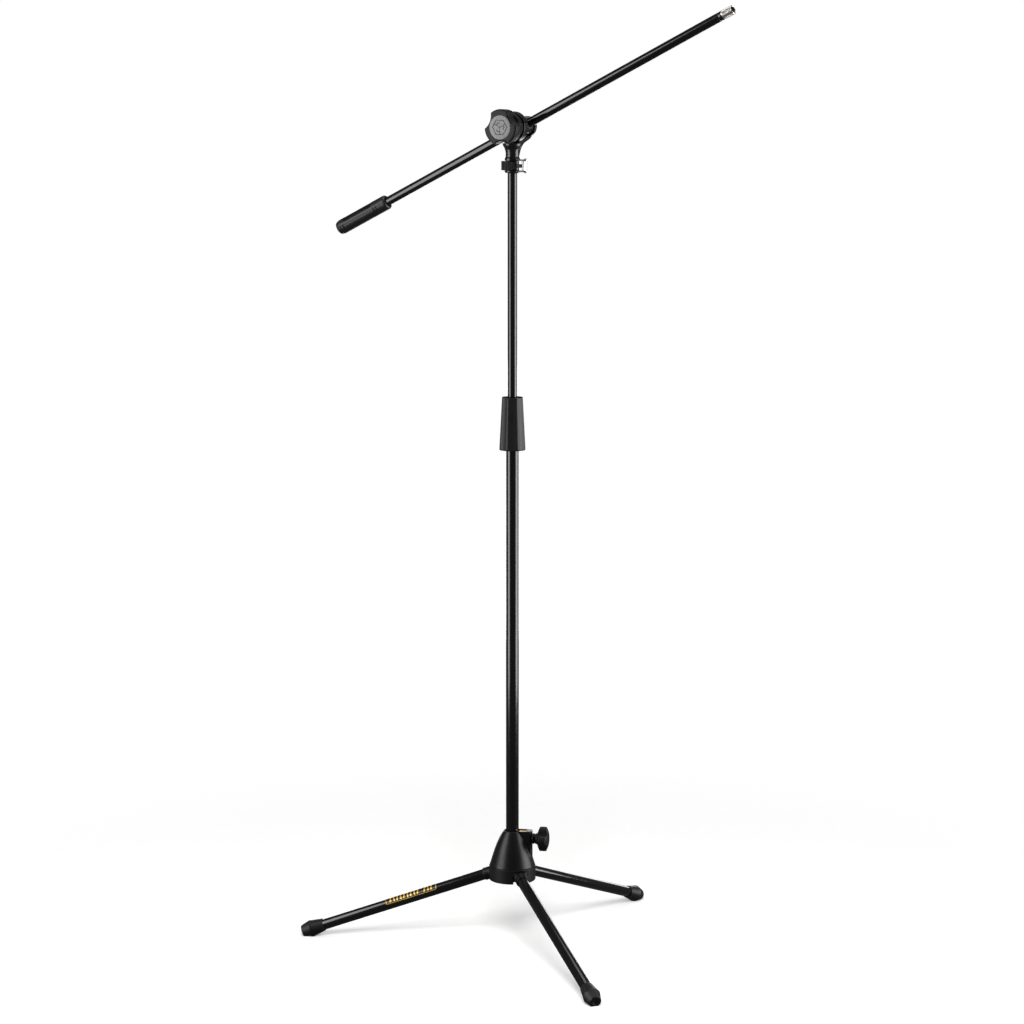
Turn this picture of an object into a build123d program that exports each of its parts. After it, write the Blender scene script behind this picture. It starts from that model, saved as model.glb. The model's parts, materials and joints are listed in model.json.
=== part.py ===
from build123d import *
import os
from math import cos, radians, tan

# Boom microphone stand. Millimetres, +Z up. The origin is the point of the floor under the pole,
# +X is the side of the base's clamp knob.

RUN = 0.05                # radial clearance of a running fit

# Tripod base
LEG_AZIMUTHS = (180, 300, 60)
LEG_REACH = 372.0         # pole axis to the end of a leg's axis, measured level
LEG_SLOPE = 19.85         # degrees below level
LEG_R = 9.5
LEG_WALL = 1.2
FOOT_LENGTH = 40.0
FOOT_END_R = 8.5
FOOT_NECK_R = 11.4
FOOT_CONE = 18.0          # length of the cone that lies on the floor
FOOT_FLAT = 0.35          # how deep the floor flat is cut into that cone
FOOT_R = FOOT_END_R + FOOT_CONE * tan(radians(LEG_SLOPE))
LEG_END_Z = FOOT_END_R * cos(radians(LEG_SLOPE)) - FOOT_FLAT
LEG_APEX_Z = LEG_END_Z + LEG_REACH * tan(radians(LEG_SLOPE))
LEG_LENGTH = LEG_REACH / cos(radians(LEG_SLOPE))
PIVOT_R = 27.0            # pole axis to a leg's hinge pin
PIVOT_Z = LEG_APEX_Z - PIVOT_R * tan(radians(LEG_SLOPE))
PIVOT_ALONG = PIVOT_R / cos(radians(LEG_SLOPE))
PIN_R = 3.0
PIN_HALF = 18.0
EYE_R = 12.5
KNUCKLE_R = 11.0
KNUCKLE_END = 52.0        # along the leg, from the apex
LABEL_FROM, LABEL_TO = 138.7, 235.0

SKIRT_Z, SEAM_Z, HUB_TOP_Z = 118.0, 143.0, 205.0
SKIRT_R = 40.2
SPIGOT_R, SPIGOT_Z = 34.0, 149.0
SLOT_HALF = 12.7
HOUSING_WALL = 3.2
HOUSING_BORE_R = 13.0
SLEEVE_R = 15.2
BASE_SCREW_R = 2.0
BASE_SCREW_AT = 28.0
BASE_SCREW_AZIMUTHS = (0, 120, 240)

# Clamp of the lower tube
CLAMP_Z = 191.0
BOSS_END = 34.5
BOSS_HALF = 10.5
NUT_FROM, NUT_TO = 12.2, 24.6
NUT_HALF = 8.5
NUT_BOTTOM, NUT_TOP = 176.0, 203.5
CLAMP_SCREW_R = 4.0
SHOE_END = 13.3
KNOB_FROM, KNOB_BACK, KNOB_FRONT = 35.6, 44.0, 64.0
KNOB_LOBE_R = 9.0
KNOB_REACH = 21.5

# Tubes
LOWER_R, LOWER_WALL = 11.0, 1.2
LOWER_FROM, LOWER_TO = 121.0, 905.0
UPPER_R, UPPER_WALL = 8.0, 1.2
UPPER_FROM, UPPER_TO = 570.0, 1356.0
BOOM_R, BOOM_WALL = 7.75, 1.0

# Twist clutch
CLUTCH_FROM, CLUTCH_TO = 867.0, 957.0
CLUTCH_BOTTOM_R, CLUTCH_TOP_R = 23.3, 18.8
CLUTCH_RECESS = 5.0       # depth of the hard collar's end under the rubber's rim
RUBBER = 3.4
FLUTES = 8
FLUTE_TURN = 8.8          # degrees from +X to the first flute
FLUTE_R = 30.0
FLUTE_DEPTH = 1.7

# Head: its own frame has X along the boom, Y along the tilt axis away from the knob
HEAD_AZIMUTH = -20.0
TILT_Z = 1410.0
BOOM_RISE = 26.3          # degrees above level at rest
BOOM_RISE_LIMITS = (-40.0, 50.0)
BOOM_OFFSET = 35.0        # pole axis to boom axis
COLLAR_FROM, COLLAR_TO = 1333.7, 1358.0
COLLAR_R = 12.9
GROOVE_FROM, GROOVE_TO = 1338.0, 1354.0
LATCH_PIN_AT = 24.8
LATCH_PIN_R = 2.1
PIN_HEAD = 1.6
LATCH_HALF = 7.7
LATCH_IN_R, LATCH_OUT_R = 13.0, 16.6
LATCH_MID_Z = (GROOVE_FROM + GROOVE_TO) / 2
NECK_R = 11.3
EAR_FRONT, EAR_BACK = -16.0, -6.0
EAR_R = 24.0
DISC_FRONT, DISC_BACK, DISC_R = -4.95, 8.0, 26.0
BARREL_FROM, BARREL_BACK, BARREL_R = 13.0, 48.0, 15.0
REAR_EAR_FROM, REAR_EAR_BACK, REAR_EAR_R = 48.3, 54.5, 17.6
TRUNNION_R = 7.0
BOLT_R = 4.0
EYE_BOLT_R = 10.3
EYE_BOLT_HALF = 3.0
BOLT_TRAVEL = 0.8
LINER_R = 9.0
TILT_KNOB_FRONT, TILT_KNOB_BACK, TILT_SKIRT_BACK = -43.0, -22.0, -16.4
TILT_KNOB_R, TILT_WAIST, TILT_SCALLOP_R = 30.3, 22.4, 26.0
TILT_WAISTS = (36, 156, 276)
TILT_SKIRT_R = 24.6
EMBLEM_R = 20.0

# Along the boom, from the tilt axis
GRIP_FROM, GRIP_TO = -405.0, -295.0
GRIP_R, GRIP_IN_R = 12.9, 10.2
TUBE_TO = 404.0
RING_FROM, RING_TO = 406.5, 410.4
STUD_R, STUD_TO = 7.94, 430.5

LEGS = [Rot(0, 0, a) * Pos(0, 0, LEG_APEX_Z) * Rot(0, LEG_SLOPE, 0) for a in LEG_AZIMUTHS]
HEAD = Pos(0, 0, TILT_Z) * Rot(0, 0, HEAD_AZIMUTH)
TILT = HEAD * Rot(0, -BOOM_RISE, 0)
BOOM = TILT * Pos(0, BOOM_OFFSET, 0)
ALONG_X = Rot(0, 90, 0)
ALONG_Y = Rot(-90, 0, 0)


def turned(*outline):
    """A solid of revolution about Z from (radius, height) points."""
    return revolve(make_face(Polyline(*[(r, 0, z) for r, z in outline], close=True)), Axis.Z)


def ring(outer, inner, low, high):
    """A tube along Z."""
    return turned((inner, low), (outer, low), (outer, high), (inner, high))


def rod(radius, low, high):
    """A cylinder along Z."""
    return Pos(0, 0, (low + high) / 2) * Cylinder(radius, high - low)


def block(x, y, z):
    """A box from its three (low, high) spans."""
    centre = [(low + high) / 2 for low, high in (x, y, z)]
    return Pos(*centre) * Box(*[high - low for low, high in (x, y, z)])


def around(azimuths, shape):
    """Copies of a shape turned about Z."""
    return [Rot(0, 0, azimuth) * shape for azimuth in azimuths]


# ---- Base ----

def bell_outline(inset):
    """The bell's outline, bottom to top, drawn in by inset."""
    heights = ((39.7, 25), (36.8, 34), (31.8, 50), (23.2, 72), (14.7, 87))
    return [(radius - inset, 0, SKIRT_Z + height) for radius, height in heights]


def bell(inset, core):
    """The bell as a solid between its outline and a central core."""
    points = bell_outline(inset)
    low, high = points[0], points[-1]
    rest = Polyline(high, (core, 0, high[2]), (core, 0, low[2]), low)
    return revolve(make_face(Spline(*points) + rest), Axis.Z)


def nut_slot():
    """The room for the clamp nut, open at the top."""
    return block((NUT_FROM, NUT_TO), (-NUT_HALF, NUT_HALF), (NUT_BOTTOM, HUB_TOP_Z + 1))


def hold_down_ribs():
    """Ribs of the housing that hold the leg pins down in their grooves."""
    side = (SLOT_HALF + 0.5, PIN_HALF - 0.1)
    rib = block((PIVOT_R - 2.9, PIVOT_R + 2.9), side, (PIVOT_Z + PIN_R, 178))
    return around(LEG_AZIMUTHS, rib) + around(LEG_AZIMUTHS, mirror(rib, Plane.XZ))


def base_housing():
    """Hollow bell casting with the clamp boss, the guide sleeve and the posts inside."""
    body = bell(0, HOUSING_BORE_R)
    body -= bell(HOUSING_WALL, SLEEVE_R) & rod(50, SEAM_Z, HUB_TOP_Z - 12)
    body -= rod(SLEEVE_R + 1, SEAM_Z - 1, SPIGOT_Z)
    limit = bell(0, HOUSING_BORE_R) + ring(SPIGOT_R, HOUSING_BORE_R, SKIRT_Z, SEAM_Z)
    post = Pos(BASE_SCREW_AT, 0, 0) * rod(5, SPIGOT_Z, 178)
    for inner in around(BASE_SCREW_AZIMUTHS, post) + hold_down_ribs():
        body += inner & limit
    boss = block((0, BOSS_END), (-BOSS_HALF, BOSS_HALF), (158, HUB_TOP_Z))
    body += fillet(boss.edges().filter_by(Axis.Z).group_by(Axis.X)[-1], 5)
    body -= rod(HOUSING_BORE_R, SKIRT_Z, HUB_TOP_Z + 1)
    body -= nut_slot()
    body -= Pos(0, 0, CLAMP_Z) * ALONG_X * rod(CLAMP_SCREW_R + 0.5, NUT_FROM, BOSS_END + 1)
    for hole in around(BASE_SCREW_AZIMUTHS, Pos(BASE_SCREW_AT, 0, 0) * rod(BASE_SCREW_R, 140, 166)):
        body -= hole
    return body


def leg_slot():
    """The room for one leg's knuckle, for a leg along +X: round over the leg, open below."""
    leg = Pos(0, 0, LEG_APEX_Z) * Rot(0, LEG_SLOPE, 0)
    room = leg * ALONG_X * rod(SLOT_HALF, 24, 62)
    room += Pos(PIVOT_R, 0, PIVOT_Z) * ALONG_Y * rod(EYE_R + 0.8, -SLOT_HALF, SLOT_HALF)
    room += block((HOUSING_BORE_R - 1, 30), (-SLOT_HALF, SLOT_HALF), (SKIRT_Z - 1, PIVOT_Z))
    room += block((29, 46), (-SLOT_HALF, SLOT_HALF), (SKIRT_Z - 9, SKIRT_Z + 9.5))
    return room


def pin_groove():
    """The groove for one leg pin, for a leg along +X: round below, open at the top."""
    pin = Pos(PIVOT_R, 0, PIVOT_Z) * ALONG_Y * rod(PIN_R, -PIN_HALF, PIN_HALF)
    return pin + block((PIVOT_R - PIN_R, PIVOT_R + PIN_R), (-PIN_HALF, PIN_HALF), (PIVOT_Z, SPIGOT_Z + 1))


def base_skirt():
    """Ring under the bell: three arches for the legs, and grooves for their pins."""
    body = turned((HOUSING_BORE_R, SKIRT_Z), (SKIRT_R - 1, SKIRT_Z), (SKIRT_R, SKIRT_Z + 1),
                  (SKIRT_R, SEAM_Z), (SPIGOT_R, SEAM_Z), (SPIGOT_R, SPIGOT_Z),
                  (HOUSING_BORE_R, SPIGOT_Z))
    for cut in around(LEG_AZIMUTHS, leg_slot()) + around(LEG_AZIMUTHS, pin_groove()):
        body -= cut
    hole = rod(BASE_SCREW_R + 0.1, SKIRT_Z - 1, SPIGOT_Z + 1) + rod(4.2, SKIRT_Z - 1, SKIRT_Z + 4)
    for cut in around(BASE_SCREW_AZIMUTHS, Pos(BASE_SCREW_AT, 0, 0) * hole):
        body -= cut
    return body


def base_screws():
    """Three screws from below that join the ring to the bell."""
    screw = turned((0, SKIRT_Z + 1.2), (3.4, SKIRT_Z + 1.2), (4, SKIRT_Z + 1.8), (4, SKIRT_Z + 4),
                   (BASE_SCREW_R, SKIRT_Z + 4), (BASE_SCREW_R, 165), (0, 165))
    socket = extrude(RegularPolygon(1.6, 6), 2)
    screw -= Pos(0, 0, SKIRT_Z + 0.2) * socket
    return Compound(children=around(BASE_SCREW_AZIMUTHS, Pos(BASE_SCREW_AT, 0, 0) * screw))


def base_bush():
    """Nylon bush in which the lower tube slides."""
    body = ring(HOUSING_BORE_R, LOWER_R + RUN, LOWER_FROM + RUN, HUB_TOP_Z - 2)
    body -= nut_slot()
    return body - Pos(0, 0, CLAMP_Z) * ALONG_X * rod(CLAMP_SCREW_R + RUN, 5, NUT_FROM + 5)


def leg_pins():
    """The three hinge pins of the legs."""
    pin = ALONG_Y * rod(PIN_R, -PIN_HALF, PIN_HALF)
    return Compound(children=around(LEG_AZIMUTHS, Pos(PIVOT_R, 0, PIVOT_Z) * pin))


def leg_knuckle():
    """Cast knuckle in the leg's own frame: an eye round the pin and a sleeve round the tube."""
    body = ALONG_X * rod(KNUCKLE_R, PIVOT_ALONG, KNUCKLE_END)
    body += Pos(PIVOT_ALONG, 0, 0) * ALONG_Y * rod(EYE_R, -SLOT_HALF + 0.4, SLOT_HALF - 0.4)
    body -= ALONG_X * rod(LEG_R, PIVOT_ALONG + EYE_R, KNUCKLE_END + 1)
    return body - Pos(PIVOT_ALONG, 0, 0) * ALONG_Y * rod(PIN_R + RUN, -20, 20)


def leg_tube():
    """Steel tube of one leg."""
    return ALONG_X * ring(LEG_R, LEG_R - LEG_WALL, PIVOT_ALONG + EYE_R, LEG_LENGTH - 6)


def leg_foot():
    """Rubber foot: its end cone lies flat on the floor."""
    end, cone = LEG_LENGTH, LEG_LENGTH - FOOT_CONE
    neck = LEG_LENGTH - FOOT_LENGTH
    return ALONG_X * turned((0, end), (FOOT_END_R, end), (FOOT_R, cone), (FOOT_R - 0.7, cone - 1.6),
                            (FOOT_NECK_R, neck + 1), (FOOT_NECK_R - 0.8, neck), (LEG_R, neck),
                            (LEG_R, end - 6), (0, end - 6))


def leg_label():
    """Foil wrapped over the top and one side of a leg tube."""
    sheet = Polyline((LABEL_FROM, 0, LEG_R), (LABEL_TO, 0, LEG_R), (LABEL_TO, 0, LEG_R + 0.15),
                     (LABEL_FROM, 0, LEG_R + 0.15), close=True)
    return Rot(-120, 0, 0) * revolve(make_face(sheet), Axis.X, revolution_arc=150)


# ---- Clamp of the lower tube ----

def clamp_nut():
    """Brass block nut."""
    body = block((NUT_FROM, NUT_TO), (-NUT_HALF, NUT_HALF), (NUT_BOTTOM, NUT_TOP))
    body = chamfer(body.faces().sort_by(Axis.Z)[-1].edges(), 0.6)
    return body - Pos(0, 0, CLAMP_Z) * ALONG_X * rod(CLAMP_SCREW_R + RUN, 0, 40)


def clamp_shoe():
    """Brass pad between the screw and the lower tube."""
    pad = Pos(0, 0, CLAMP_Z) * ALONG_X * rod(CLAMP_SCREW_R, LOWER_R - 3, SHOE_END)
    return pad - rod(LOWER_R + RUN, CLAMP_Z - 10, CLAMP_Z + 10)


def clamp_screw():
    """Steel screw moulded into the base knob."""
    tip = SHOE_END + RUN
    screw = turned((0, tip), (3.2, tip), (CLAMP_SCREW_R, tip + 0.8), (CLAMP_SCREW_R, 58), (0, 58))
    return Pos(0, 0, CLAMP_Z) * ALONG_X * screw


def base_knob():
    """Four-lobed knob with a spool neck."""
    back, front = KNOB_BACK, KNOB_FRONT
    neck = turned((0, KNOB_FROM), (9.3, KNOB_FROM), (9.3, KNOB_FROM + 2.4), (6.2, KNOB_FROM + 2.4),
                  (6.2, back - 3), (9.5, back - 3), (9.5, back), (0, back))
    for angle in (45, 135):
        neck += Rot(0, 0, angle) * block((-9, 9), (-1.5, 1.5), (KNOB_FROM + 1, back - 1))
    lobe = make_hull((Circle(KNOB_LOBE_R) + Pos(KNOB_REACH - KNOB_LOBE_R, 0) * Circle(KNOB_LOBE_R)).edges())
    star = Sketch() + [Rot(0, 0, angle) * lobe for angle in (0, 90, 180, 270)]
    lens = turned((0, back), (11, back), (KNOB_REACH + 0.2, back + 4.5), (KNOB_REACH + 0.2, front - 4.8),
                  (13, front - 1.2), (7, front), (0, front))
    knob = neck + (Pos(0, 0, back) * extrude(star, front - back) & lens)
    return Pos(0, 0, CLAMP_Z) * ALONG_X * (knob - rod(CLAMP_SCREW_R, KNOB_FROM - 1, 58))


# ---- Mast ----

def lower_tube_plug():
    """Plug under the lower tube; its flange stops the tube from leaving the base."""
    bore, flange, end = LOWER_R - LOWER_WALL, LOWER_R + 1.2, LOWER_FROM
    return turned((0, end - 2.5), (flange - 1, end - 2.5), (flange, end - 1.5), (flange, end), (bore, end),
                  (bore, end + 16), (0, end + 16))


def clutch_body():
    """Threaded sleeve on the top end of the lower tube."""
    return turned((LOWER_R, CLUTCH_FROM + 1), (14, CLUTCH_FROM + 1), (14, LOWER_TO + 5),
                  (UPPER_R + 0.6, LOWER_TO + 5), (UPPER_R + 0.6, LOWER_TO), (LOWER_R, LOWER_TO))


def clutch_collet():
    """Split nylon ring that grips the upper tube."""
    low, high = LOWER_TO + 5, LOWER_TO + 29
    body = turned((UPPER_R + RUN, low), (12.4, low), (12.4, low + 4), (10, high), (UPPER_R + RUN, high))
    for angle in (0, 90):
        body -= Rot(0, 0, angle) * block((-15, 15), (-0.6, 0.6), (low + 6, high + 1))
    return body


def clutch_outline_radius(height):
    """Outside radius of the clutch's rubber at a height."""
    share = (height - CLUTCH_FROM) / (CLUTCH_TO - CLUTCH_FROM)
    return CLUTCH_BOTTOM_R + share * (CLUTCH_TOP_R - CLUTCH_BOTTOM_R)


def clutch_collar():
    """Hard collar that turns on the thread and closes the collet."""
    low, high = CLUTCH_FROM + 0.5, CLUTCH_TO - CLUTCH_RECESS
    seat = LOWER_TO + 6
    return turned((14 + RUN, low), (clutch_outline_radius(low) - RUBBER, low),
                  (clutch_outline_radius(high) - RUBBER, high), (UPPER_R + 1, high),
                  (UPPER_R + 1, seat + 25), (10.5, seat + 25), (12.9, seat + 7), (12.9, seat),
                  (14 + RUN, seat))


def clutch_sleeve():
    """Fluted rubber sleeve over the collar."""
    low, high = CLUTCH_FROM, CLUTCH_TO
    inner_low = clutch_outline_radius(CLUTCH_FROM + 0.5) - RUBBER
    inner_high = clutch_outline_radius(CLUTCH_TO - CLUTCH_RECESS) - RUBBER
    body = turned((inner_low, low), (CLUTCH_BOTTOM_R - 1.5, low), (CLUTCH_BOTTOM_R, low + 2),
                  (CLUTCH_TOP_R, high - 1.2), (CLUTCH_TOP_R - 1, high), (inner_high, high),
                  (inner_high, high - CLUTCH_RECESS), (inner_low, low + 0.5))
    lean = CLUTCH_BOTTOM_R - CLUTCH_TOP_R
    start = Vector(CLUTCH_BOTTOM_R + FLUTE_R - FLUTE_DEPTH, 0, low)
    path = Vector(-lean, 0, high - low)
    flute = Solid.make_cylinder(FLUTE_R, path.length + 20, Plane(start - path * 0.1, z_dir=path))
    for cut in around([FLUTE_TURN + 360 / FLUTES * n for n in range(FLUTES)], Part() + flute):
        body -= cut
    return body


def upper_tube_guide():
    """Nylon guide on the bottom end of the upper tube."""
    outer, bore = LOWER_R - LOWER_WALL - RUN, UPPER_R - UPPER_WALL
    low, top = UPPER_FROM, UPPER_FROM + 32
    return turned((0, low - 8), (outer - 1, low - 8), (outer, low - 7), (outer, top), (UPPER_R, top),
                  (UPPER_R, low), (bore, low), (bore, low + 12), (0, low + 12))


# ---- Head ----

def swivel_bush():
    """Nylon cup between the head and the top of the upper tube."""
    inner, top = UPPER_R + RUN, UPPER_TO + RUN
    return turned((inner, COLLAR_FROM + 0.5), (9.6, COLLAR_FROM + 0.5), (9.6, COLLAR_TO), (0, COLLAR_TO),
                  (0, top), (inner, top))


def swivel_collar():
    """Collar with a groove for the latch lever and two open ears for its pin."""
    rim, floor, bore = COLLAR_R, COLLAR_R - 1.7, 9.6
    body = turned((bore, COLLAR_FROM), (rim - 1.2, COLLAR_FROM), (rim, COLLAR_FROM + 1.5),
                  (rim, GROOVE_FROM), (floor, GROOVE_FROM), (floor, GROOVE_TO), (rim, GROOVE_TO),
                  (rim, COLLAR_TO), (bore, COLLAR_TO))
    for low, high in ((COLLAR_FROM + PIN_HEAD, GROOVE_FROM), (GROOVE_TO, COLLAR_TO - PIN_HEAD)):
        body += block((bore, LATCH_PIN_AT), (-4.5, 4.5), (low, high))
    body -= rod(bore, COLLAR_FROM - 1, COLLAR_TO + 1)
    return body - Pos(LATCH_PIN_AT, 0, 0) * rod(LATCH_PIN_R, COLLAR_FROM - 1, COLLAR_TO + 1)


def latch_pin():
    """Nickel pin with a domed head at each end."""
    r, low, high = LATCH_PIN_R, COLLAR_FROM + PIN_HEAD, COLLAR_TO - PIN_HEAD
    wide, dome = r + 0.7, PIN_HEAD / 2
    pin = turned((0, low - PIN_HEAD), (r, low - PIN_HEAD), (wide, low - dome), (wide, low), (r, low), (r, high),
                 (wide, high), (wide, high + dome), (r, high + PIN_HEAD), (0, high + PIN_HEAD))
    return Pos(LATCH_PIN_AT, 0, 0) * pin


def latch_link_shape():
    """Plan of the link between the latch pin and the lever."""
    circles = Pos(LATCH_PIN_AT, 0) * Circle(3.1) + Pos(LATCH_PIN_AT - 0.9, -6.4) * Circle(2.2)
    return make_hull(circles.edges())


def latch_link():
    """Nickel link that turns on the latch pin."""
    body = Pos(0, 0, LATCH_MID_Z - LATCH_HALF) * extrude(latch_link_shape(), 2 * LATCH_HALF)
    return body - Pos(LATCH_PIN_AT, 0, 0) * rod(LATCH_PIN_R + RUN, COLLAR_FROM, COLLAR_TO)


def latch_lever():
    """Lever that lies round the front of the collar, with a ribbed thumb pad at its free end."""
    low = LATCH_MID_Z - LATCH_HALF
    band = ring(LATCH_OUT_R, LATCH_IN_R, low, low + 2 * LATCH_HALF)
    wedge = make_face(Polyline((0, 0), (40, -26), (0, -60), (-40, -36), close=True))
    band &= Pos(0, 0, low) * extrude(wedge, 2 * LATCH_HALF)
    arm = make_hull((Pos(12.6, -8.4) * Circle(2) + Pos(21.2, -8.2) * Circle(2)).edges())
    tip = make_hull((Pos(-12.1, -8.8) * Circle(1.6) + Pos(-15.2, -8.2) * Circle(1.4)).edges())
    body = band + Pos(0, 0, low) * extrude(arm + tip, 2 * LATCH_HALF)
    for angle in range(55, 132, 11):
        body += Rot(0, 0, -angle) * block((LATCH_OUT_R - 0.5, LATCH_OUT_R + 0.8), (-0.7, 0.7),
                                          (low + 1, low + 2 * LATCH_HALF - 1))
    taper = make_face(Polyline((-7, LATCH_HALF + 0.1), (6.8, 3), (16, 3), (16, 12), (-7, 12), close=True))
    taper = Rot(0, 0, -50) * Pos(30, 0, 0) * Rot(0, 0, 90) * Rot(90, 0, 0) * taper
    cut = extrude(taper, 40, both=True)
    for side in (cut, mirror(cut, Plane.XY)):
        body -= Pos(0, 0, LATCH_MID_Z) * side
    body -= Pos(0, 0, low - 1) * extrude(latch_link_shape(), 2 * LATCH_HALF + 2)
    return body - rod(COLLAR_R + 0.1, COLLAR_FROM, COLLAR_TO)


def front_ear():
    """Front ear of the head casting."""
    plan = make_hull((Circle(EAR_R) + Pos(0, -EAR_R) * Circle(6)).edges())
    return Pos(0, EAR_BACK, 0) * extrude(Rot(90, 0, 0) * plan, EAR_BACK - EAR_FRONT)


def rear_arm():
    """Arm that passes under the boom holder to the rear ear; the boom stops in its two grooves."""
    inner, below_disc = -BARREL_R - 1, -DISC_R - 1
    root, heel = (0, 10.8, -48), (0, 36, -24.5)
    side = ThreePointArc(root, (0, 18.2, -34.6), heel)
    side += Polyline(heel, (0, REAR_EAR_FROM, -20.5), (0, REAR_EAR_BACK, -16), (0, REAR_EAR_BACK, -6),
                     (0, REAR_EAR_FROM, -6), (0, REAR_EAR_FROM, inner), (0, 15, inner),
                     (0, 9.5, below_disc), (0, -8, below_disc), (0, -8, -48), root)
    arm = extrude(make_face(side), 8, both=True, dir=(1, 0, 0))
    for rise in BOOM_RISE_LIMITS:
        arm -= Rot(0, -rise, 0) * Pos(0, BOOM_OFFSET, 0) * ALONG_X * rod(BOOM_R + 0.3, -40, 40)
    return arm


def head_yoke():
    """Head casting: neck, front ear and rear arm with its ear."""
    foot, top, wide = COLLAR_TO - TILT_Z, -DISC_R - 1, NECK_R + 5.5
    neck = turned((0, foot), (NECK_R + 1.6, foot), (NECK_R, foot + 2.4), (NECK_R, -42), (NECK_R + 1.3, -37),
                  (NECK_R + 4.4, -31), (wide, top), (0, top))
    body = neck + front_ear() + rear_arm() + ALONG_Y * rod(REAR_EAR_R, REAR_EAR_FROM, REAR_EAR_BACK)
    body -= ALONG_Y * rod(BOLT_R + 0.1, EAR_FRONT - 1, EAR_BACK + 1)
    return body - ALONG_Y * rod(TRUNNION_R + RUN, REAR_EAR_FROM - 1, REAR_EAR_BACK + 1)


def tilt_knob():
    """Three-lobed knob with a round skirt, threaded on the eye bolt."""
    outline = Circle(TILT_KNOB_R)
    for angle in TILT_WAISTS:
        outline -= Rot(0, 0, angle) * Pos(TILT_WAIST + TILT_SCALLOP_R, 0) * Circle(TILT_SCALLOP_R)
    outline = fillet(outline.vertices(), 6)
    body = extrude(Rot(90, 0, 0) * outline, TILT_KNOB_BACK - TILT_KNOB_FRONT)
    body = Pos(0, TILT_KNOB_BACK, 0) * fillet(body.faces().sort_by(Axis.Y)[0].edges(), 1.8)
    body += ALONG_Y * turned((0, TILT_KNOB_BACK), (TILT_SKIRT_R - 1.2, TILT_KNOB_BACK),
                             (TILT_SKIRT_R, TILT_KNOB_BACK + 1.5), (TILT_SKIRT_R, TILT_SKIRT_BACK),
                             (0, TILT_SKIRT_BACK))
    body -= ALONG_Y * rod(EMBLEM_R, TILT_KNOB_FRONT - 1, TILT_KNOB_FRONT + 1.4)
    body -= ALONG_Y * rod(11, TILT_SKIRT_BACK - 1.3, TILT_SKIRT_BACK + 1)
    return body - ALONG_Y * rod(BOLT_R + RUN, TILT_KNOB_FRONT + 4, TILT_SKIRT_BACK + 1)


def knob_emblem():
    """Round disc in the front of the tilt knob."""
    front = TILT_KNOB_FRONT - 0.6
    return ALONG_Y * turned((0, front), (EMBLEM_R - 0.6, front), (EMBLEM_R, front + 0.6),
                            (EMBLEM_R, front + 2), (0, front + 2))


def knob_washer():
    """Steel washer under the tilt knob."""
    return ALONG_Y * ring(11, BOLT_R + 0.2, TILT_SKIRT_BACK - 1.3, EAR_FRONT - RUN)


def friction_disc():
    """Fibre disc on the back of the front ear."""
    return ALONG_Y * ring(DISC_R - 4, BOLT_R + 0.2, EAR_BACK, DISC_FRONT - RUN)


# ---- Boom clamp, in a frame with X along the boom ----

def eye_slot():
    """The room for the eye of the bolt, open below."""
    reach = EYE_BOLT_R + 0.1
    room = make_hull((Circle(reach) + Pos(BOLT_TRAVEL + RUN, 0) * Circle(reach)).edges())
    room += Pos((BOLT_TRAVEL + RUN) / 2, -BARREL_R) * Rectangle(2 * reach + BOLT_TRAVEL + RUN, 2 * BARREL_R)
    room = Pos(0, BOOM_OFFSET, 0) * Rot(0, 0, 90) * Rot(90, 0, 0) * room
    return extrude(room, EYE_BOLT_HALF + 0.15, both=True)


def boom_holder():
    """Serrated disc, barrel and rear trunnion that carry the boom."""
    body = turned((0, DISC_FRONT), (DISC_R, DISC_FRONT), (DISC_R, DISC_BACK), (BARREL_R, BARREL_FROM),
                  (BARREL_R, BARREL_BACK), (TRUNNION_R, BARREL_BACK), (TRUNNION_R, REAR_EAR_BACK + 0.1),
                  (0, REAR_EAR_BACK + 0.1))
    body -= rod(BOLT_R + RUN, DISC_FRONT - 1, BOOM_OFFSET) + rod(2.5, BARREL_BACK, REAR_EAR_BACK + 1)
    body = ALONG_Y * body
    body -= Pos(0, BOOM_OFFSET, 0) * ALONG_X * rod(LINER_R, -30, 30)
    return body - eye_slot()


def boom_liner():
    """Two nylon rings in which the boom slides, one on each side of the eye."""
    gap, barrel = EYE_BOLT_HALF + 0.2, ALONG_Y * rod(BARREL_R - 0.4, BARREL_FROM, BARREL_BACK)
    rings = [ring(LINER_R, BOOM_R + RUN, low, high) for low, high in ((-BARREL_R, -gap), (gap, BARREL_R))]
    return Compound(children=[Pos(0, BOOM_OFFSET, 0) * ALONG_X * piece & barrel for piece in rings])


def trunnion_screw():
    """Screw with a wide head behind the rear ear."""
    head = REAR_EAR_BACK + 0.1
    return ALONG_Y * turned((0, BARREL_BACK + 0.2), (2.5, BARREL_BACK + 0.2), (2.5, head), (9.5, head),
                            (9.5, head + 1.2), (7, head + 2.8), (0, head + 2.8))


def eye_bolt():
    """Bolt whose eye pulls the boom against its seat."""
    body = extrude(Rot(0, 0, 90) * Rot(90, 0, 0) * Circle(EYE_BOLT_R), EYE_BOLT_HALF, both=True)
    hole = make_hull((Circle(BOOM_R + 0.07) + Pos(-BOLT_TRAVEL, 0) * Circle(BOOM_R + 0.07)).edges())
    body -= extrude(Rot(0, 0, 90) * Rot(90, 0, 0) * hole, EYE_BOLT_HALF + 1, both=True)
    shank_end, root_end = BOOM_OFFSET - LINER_R - BOLT_TRAVEL - 0.1, BOOM_OFFSET - BOOM_R - BOLT_TRAVEL - 0.6
    root = ALONG_Y * rod(BOLT_R, shank_end - 1, root_end)
    root &= block((-EYE_BOLT_HALF, EYE_BOLT_HALF), (0, BOOM_OFFSET), (-BOLT_R, BOLT_R))
    return Pos(0, BOOM_OFFSET, 0) * body + root + ALONG_Y * rod(BOLT_R, TILT_KNOB_FRONT + 5, shank_end)


# ---- Boom, along +X ----

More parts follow.
